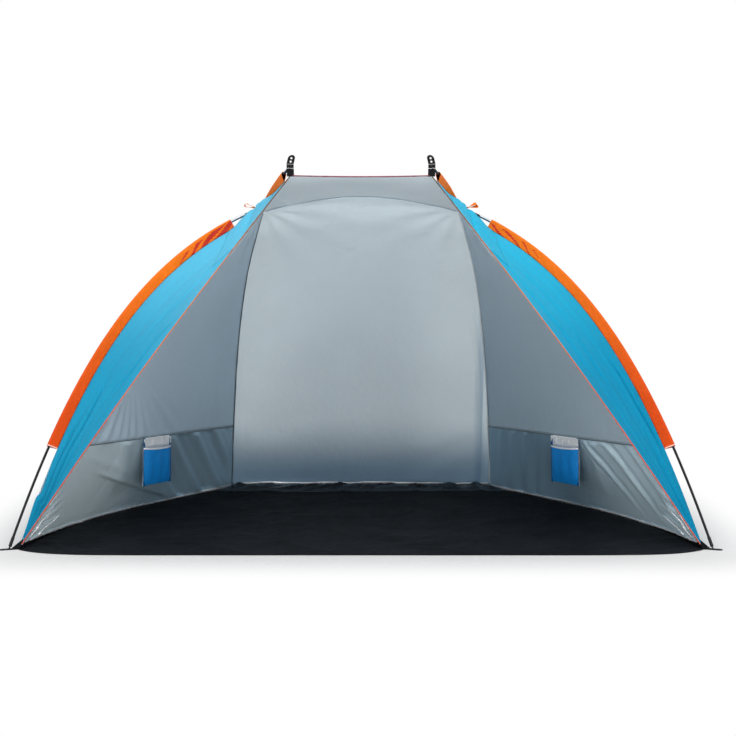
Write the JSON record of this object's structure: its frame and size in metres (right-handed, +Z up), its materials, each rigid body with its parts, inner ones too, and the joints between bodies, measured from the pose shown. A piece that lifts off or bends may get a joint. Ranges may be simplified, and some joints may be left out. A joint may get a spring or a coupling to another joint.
{
  "type": "beach tent",
  "caption": "Open-fronted beach tent: fabric half dome on bent rods with pole sleeves, a ground sheet, hanging pockets and webbing corner tabs.",
  "frame": {"origin": "on the ground under the middle of the tent's box", "axes": "+Z up, +Y towards the rear panel, +X to the right seen from the open front"},
  "size_m": [2.174, 1.3288, 1.1835],
  "materials": {
    "silver_fabric": "silver-grey coated polyester, satin",
    "blue_fabric": "cyan-blue woven polyester",
    "orange_fabric": "orange woven polyester",
    "maroon_piping": "dark red edge tape",
    "ground_sheet": "black polyethylene sheet, slightly shiny",
    "fibreglass": "black fibreglass rod",
    "ferrule_metal": "plain steel tube",
    "webbing": "black woven webbing"
  },
  "bodies": {
    "tent": {"rear_panel": "silver_fabric", "roof_panel": "silver_fabric", "side_wall_lower_right": "silver_fabric", "side_wall_lower_left": "silver_fabric", "side_wall_upper_right": "silver_fabric", "side_wall_upper_left": "silver_fabric", "wing_right": "blue_fabric", "wing_left": "blue_fabric", "front_piping_right": "orange_fabric", "front_piping_left": "orange_fabric", "top_piping": "maroon_piping", "ground_sheet": "ground_sheet", "front_pole_section_1": "fibreglass", "front_pole_section_2": "fibreglass", "front_pole_section_3": "fibreglass", "front_pole_section_4": "fibreglass", "front_pole_section_5": "fibreglass", "front_pole_section_6": "fibreglass", "front_pole_section_7": "fibreglass", "front_pole_section_8": "fibreglass", "front_pole_tip_right": "ferrule_metal", "front_pole_tip_left": "ferrule_metal", "rear_pole_right_section_1": "fibreglass", "rear_pole_right_section_2": "fibreglass", "rear_pole_right_section_3": "fibreglass", "rear_pole_right_section_4": "fibreglass", "rear_pole_left_section_1": "fibreglass", "rear_pole_left_section_2": "fibreglass", "rear_pole_left_section_3": "fibreglass", "rear_pole_left_section_4": "fibreglass", "rear_pole_right_ground_tip": "ferrule_metal", "rear_pole_left_ground_tip": "ferrule_metal", "rear_pole_right_top_tip": "ferrule_metal", "rear_pole_left_top_tip": "ferrule_metal", "long_sleeve_right": "orange_fabric", "long_sleeve_left": "orange_fabric", "rear_sleeve_right": "orange_fabric", "rear_sleeve_left": "orange_fabric", "short_sleeve_right": "orange_fabric", "short_sleeve_left": "orange_fabric", "tie_band_right": "orange_fabric", "tie_band_left": "orange_fabric", "top_tab_right": "webbing", "top_tab_left": "webbing", "front_ground_tab_right": "webbing", "front_ground_tab_left": "webbing", "rear_ground_tab_right": "webbing", "rear_ground_tab_left": "webbing"},
    "pocket_right": {"pocket_back_right": "silver_fabric", "pocket_pouch_right": "blue_fabric"},
    "pocket_left": {"pocket_back_left": "silver_fabric", "pocket_pouch_left": "blue_fabric"},
    "top_tail_right": {"top_tab_tail_right": "webbing"},
    "top_tail_left": {"top_tab_tail_left": "webbing"},
    "ground_tail_right": {"front_ground_tab_tail_right": "webbing"},
    "ground_tail_left": {"front_ground_tab_tail_left": "webbing"},
    "tie_right": {"tie_loop_right": "orange_fabric"},
    "tie_left": {"tie_loop_left": "orange_fabric"}
  },
  "joints": [
    {"name": "pocket_right_swing", "type": "hinge", "parent": "tent", "child": "pocket_right", "pos_m": [0.7091, 0.06978, 0.26145], "axis": [-0.4132, 0.9097, -0.0412], "range_deg": [-18, 110]},
    {"name": "pocket_left_swing", "type": "hinge", "parent": "tent", "child": "pocket_left", "pos_m": [-0.7091, 0.06978, 0.26145], "axis": [-0.4132, -0.9097, 0.0412], "range_deg": [-18, 110]},
    {"name": "top_tail_right_bend", "type": "hinge", "parent": "tent", "child": "top_tail_right", "pos_m": [0.21271, -0.50975, 1.15538], "axis": [0.968, -0.2508, 0], "range_deg": [-60, 60], "stiffness_Nm_per_rad": 0.004},
    {"name": "top_tail_left_bend", "type": "hinge", "parent": "tent", "child": "top_tail_left", "pos_m": [-0.21271, -0.50975, 1.15538], "axis": [0.968, 0.2508, 0], "range_deg": [-60, 60], "stiffness_Nm_per_rad": 0.004},
    {"name": "ground_tail_right_lift", "type": "hinge", "parent": "tent", "child": "ground_tail_right", "pos_m": [1.06736, -0.58115, 0.0012], "axis": [-0.342, -0.9397, 0], "range_deg": [0, 90]},
    {"name": "ground_tail_left_lift", "type": "hinge", "parent": "tent", "child": "ground_tail_left", "pos_m": [-1.06736, -0.58115, 0.0012], "axis": [-0.342, 0.9397, 0], "range_deg": [0, 90]},
    {"name": "tie_right_swing", "type": "hinge", "parent": "tent", "child": "tie_right", "pos_m": [0.35014, -0.05699, 1.0445], "axis": [0, -0.8944, 0.4472], "range_deg": [-12, 30], "stiffness_Nm_per_rad": 0.0008},
    {"name": "tie_left_swing", "type": "hinge", "parent": "tent", "child": "tie_left", "pos_m": [-0.35014, -0.05699, 1.0445], "axis": [0, 0.8944, -0.4472], "range_deg": [-12, 30], "stiffness_Nm_per_rad": 0.0008}
  ]
}
